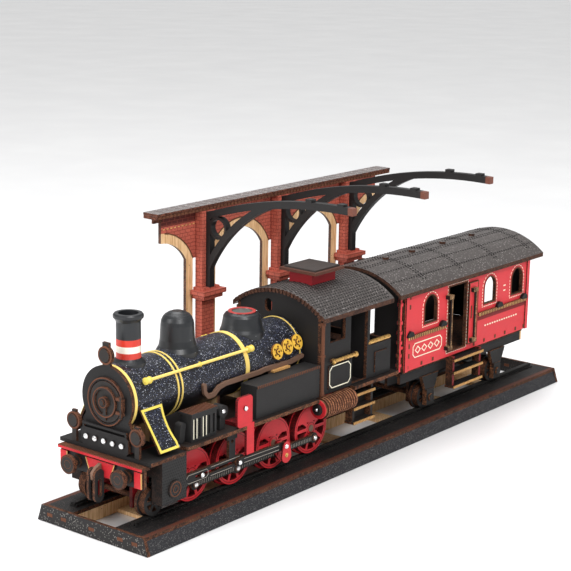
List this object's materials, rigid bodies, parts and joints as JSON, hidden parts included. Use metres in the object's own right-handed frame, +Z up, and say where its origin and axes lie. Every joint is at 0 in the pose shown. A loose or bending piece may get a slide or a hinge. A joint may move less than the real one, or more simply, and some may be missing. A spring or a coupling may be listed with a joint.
{
  "type": "wooden model train display",
  "caption": "Laser-cut plywood model of a tank locomotive and carriage on a track base under a cantilevered station canopy, with turning wheels and coupling rods.",
  "frame": {"origin": "middle of the track base, on its underside, at the track's centre line", "axes": "+X along the track towards the carriage, -Y the open side away from the canopy wall, +Z up"},
  "size_m": [0.4, 0.1119, 0.1596],
  "materials": {
    "ballast_grey": "satin printed plywood, grey ballast speckle",
    "burnt_ply": "laser-burnt brown plywood edge",
    "bare_ply": "bare basswood plywood",
    "charcoal_ply": "matt charcoal printed plywood",
    "black_ply": "matt black printed plywood",
    "brick_ply": "brick-red printed plywood",
    "roof_grey": "dark grey studded printed plywood",
    "red_ply": "satin red printed plywood",
    "coral_ply": "satin coral-red printed plywood",
    "dark_red_ply": "dark red printed plywood",
    "glitter_black": "black print with fine glitter speckle",
    "gold_print": "gold-yellow printed plywood",
    "moulded_black": "satin moulded plastic",
    "dowel": "round beech dowel"
  },
  "bodies": {
    "display": {"ballast_sides": "ballast_grey", "deck_plates": "burnt_ply", "track_bearers": "bare_ply", "base_ends": "charcoal_ply", "rails": "black_ply", "station_columns": "brick_ply", "station_wall": "brick_ply", "arch_trims": "bare_ply", "canopy_arms": "black_ply", "canopy_board": "roof_grey", "round_sign": "bare_ply", "loco_frame": "red_ply", "footplate": "burnt_ply", "front_platform": "black_ply", "buffer_beam": "red_ply", "buffers": "charcoal_ply", "coupling_hook": "burnt_ply", "cylinder_blocks": "charcoal_ply", "slide_bars": "black_ply", "motion_brackets": "red_ply", "head_lamps": "charcoal_ply", "boiler_barrel": "glitter_black", "boiler_formers": "bare_ply", "smokebox_front": "black_ply", "smokebox_door": "charcoal_ply", "boiler_bands": "gold_print", "chimney": "moulded_black", "boiler_domes": "moulded_black", "boiler_handrails": "gold_print", "valve_wheels": "gold_print", "feed_pipes": "burnt_ply", "steam_pipe_covers": "glitter_black", "air_pumps": "charcoal_ply", "side_tanks": "charcoal_ply", "cab_walls": "black_ply", "cab_roof": "roof_grey", "roof_ventilator": "roof_grey", "air_reservoirs": "burnt_ply", "cab_steps": "burnt_ply", "carriage_frame": "black_ply", "carriage_walls": "coral_ply", "carriage_roof": "roof_grey", "carriage_handrails": "black_ply", "door_steps": "dark_red_ply", "axle_boxes": "black_ply"},
    "coupling_link": {"coupling_link": "charcoal_ply"},
    "driver_1": {"driving_wheels_1": "red_ply", "driving_axle_1": "dowel"},
    "driver_2": {"driving_wheels_2": "red_ply", "driving_axle_2": "dowel"},
    "driver_3": {"driving_wheels_3": "red_ply", "driving_axle_3": "dowel", "return_cranks": "red_ply"},
    "driver_4": {"driving_wheels_4": "red_ply", "driving_axle_4": "dowel"},
    "rod_near": {"coupling_rod_near": "black_ply"},
    "rod_far": {"coupling_rod_far": "black_ply"},
    "leading_pair": {"leading_wheelset": "charcoal_ply"},
    "carriage_pair_front": {"carriage_wheelset_front": "charcoal_ply"},
    "carriage_pair_rear": {"carriage_wheelset_rear": "charcoal_ply"}
  },
  "joints": [
    {"name": "driver_3_spin", "type": "hinge", "parent": "display", "child": "driver_3", "pos_m": [-0.0841, 0, 0.026], "axis": [0, 1, 0], "continuous": true},
    {"name": "driver_1_spin", "type": "hinge", "parent": "display", "child": "driver_1", "pos_m": [-0.1505, 0, 0.026], "axis": [0, 1, 0], "continuous": true},
    {"name": "driver_2_spin", "type": "hinge", "parent": "display", "child": "driver_2", "pos_m": [-0.1173, 0, 0.026], "axis": [0, 1, 0], "continuous": true},
    {"name": "driver_4_spin", "type": "hinge", "parent": "display", "child": "driver_4", "pos_m": [-0.0509, 0, 0.026], "axis": [0, 1, 0], "continuous": true},
    {"name": "rod_near_turn", "type": "hinge", "parent": "driver_3", "child": "rod_near", "pos_m": [-0.0841, -0.0249, 0.021], "axis": [0, 1, 0], "continuous": true},
    {"name": "rod_far_turn", "type": "hinge", "parent": "driver_3", "child": "rod_far", "pos_m": [-0.0841, 0.0249, 0.021], "axis": [0, 1, 0], "continuous": true},
    {"name": "leading_spin", "type": "hinge", "parent": "display", "child": "leading_pair", "pos_m": [-0.1786, 0, 0.019], "axis": [0, 1, 0], "continuous": true},
    {"name": "carriage_front_spin", "type": "hinge", "parent": "display", "child": "carriage_pair_front", "pos_m": [0.062, 0, 0.019], "axis": [0, 1, 0], "continuous": true},
    {"name": "carriage_rear_spin", "type": "hinge", "parent": "display", "child": "carriage_pair_rear", "pos_m": [0.139, 0, 0.019], "axis": [0, 1, 0], "continuous": true},
    {"name": "coupling_link_swing", "type": "hinge", "parent": "display", "child": "coupling_link", "pos_m": [-0.1966, 0, 0.033], "axis": [0, 1, 0], "range_deg": [0, 60]}
  ],
  "couplings": [
    {"joint": "driver_1_spin", "follows": "driver_3_spin", "ratio": 1},
    {"joint": "driver_2_spin", "follows": "driver_3_spin", "ratio": 1},
    {"joint": "driver_4_spin", "follows": "driver_3_spin", "ratio": 1},
    {"joint": "rod_near_turn", "follows": "driver_3_spin", "ratio": -1},
    {"joint": "rod_far_turn", "follows": "driver_3_spin", "ratio": -1}
  ]
}
